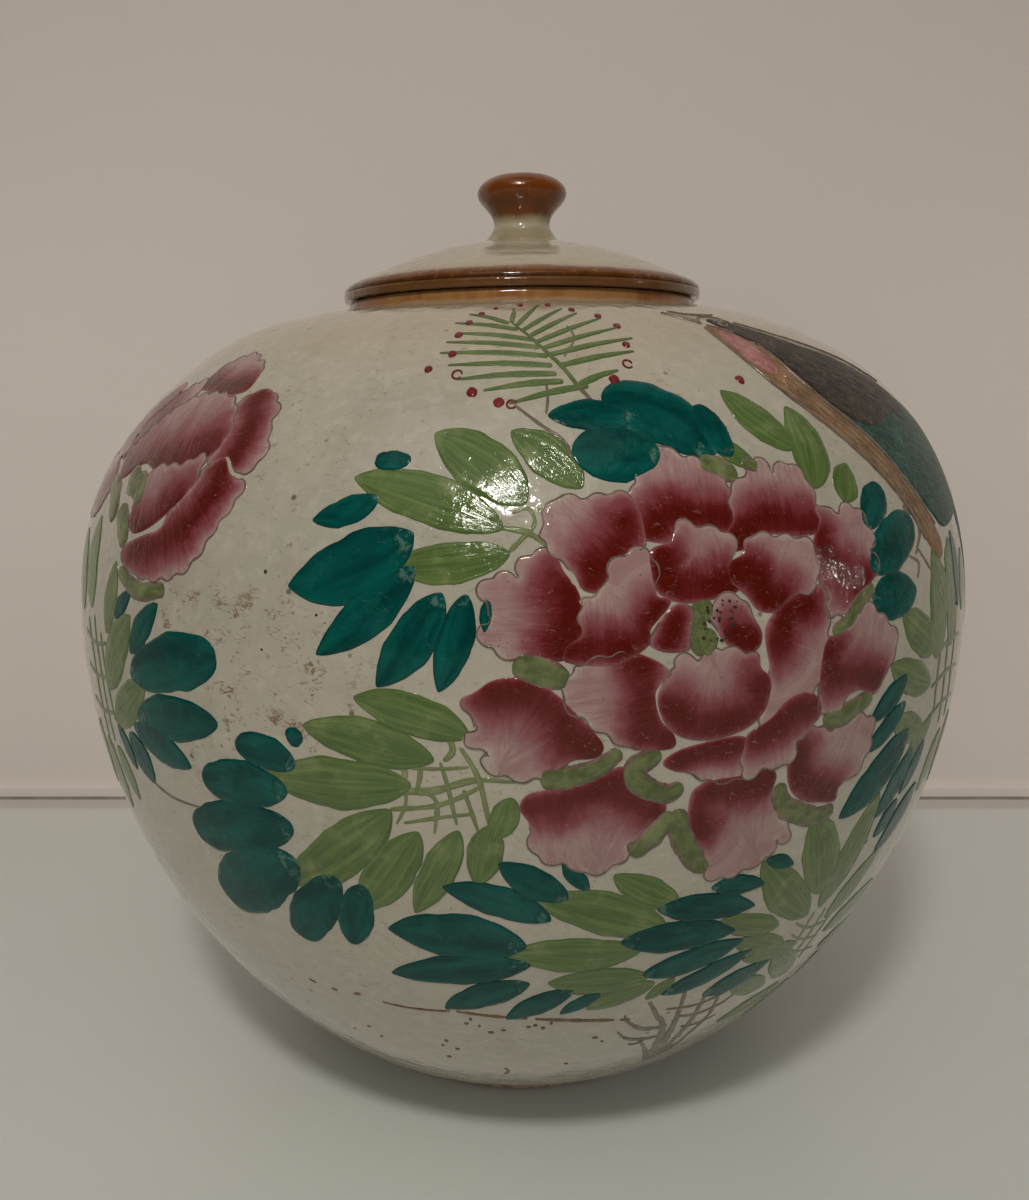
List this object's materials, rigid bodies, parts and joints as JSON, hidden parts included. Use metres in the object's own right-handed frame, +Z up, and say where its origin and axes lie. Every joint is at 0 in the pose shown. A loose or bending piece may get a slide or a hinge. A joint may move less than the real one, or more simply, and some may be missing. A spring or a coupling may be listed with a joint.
{
  "type": "lidded ginger jar",
  "caption": "Globular glazed ceramic jar with a low raised mouth and a lift-off domed lid with a button knob and a seating flange.",
  "frame": {"origin": "centre of the foot ring, on the surface the jar stands on", "axes": "+Z up along the jar's axis; -Y is the painted front"},
  "size_m": [0.23, 0.23, 0.2333],
  "materials": {
    "body_glaze": "glossy greyish-cream glaze with overglaze enamel painting",
    "lid_glaze": "glossy cream glaze with a brown-dressed edge",
    "brown_glaze": "glossy iron-brown glaze",
    "unglazed_clay": "matt unglazed fired clay"
  },
  "bodies": {
    "jar": {"jar_lower_section": "body_glaze", "jar_upper_section": "body_glaze"},
    "lid": {"lid_dome": "lid_glaze", "lid_flange": "unglazed_clay", "lid_knob": "brown_glaze"}
  },
  "joints": [
    {"name": "lid_lift", "type": "slide", "parent": "jar", "child": "lid", "axis": [0, 0, 1], "range_m": [0, 0.06]}
  ]
}
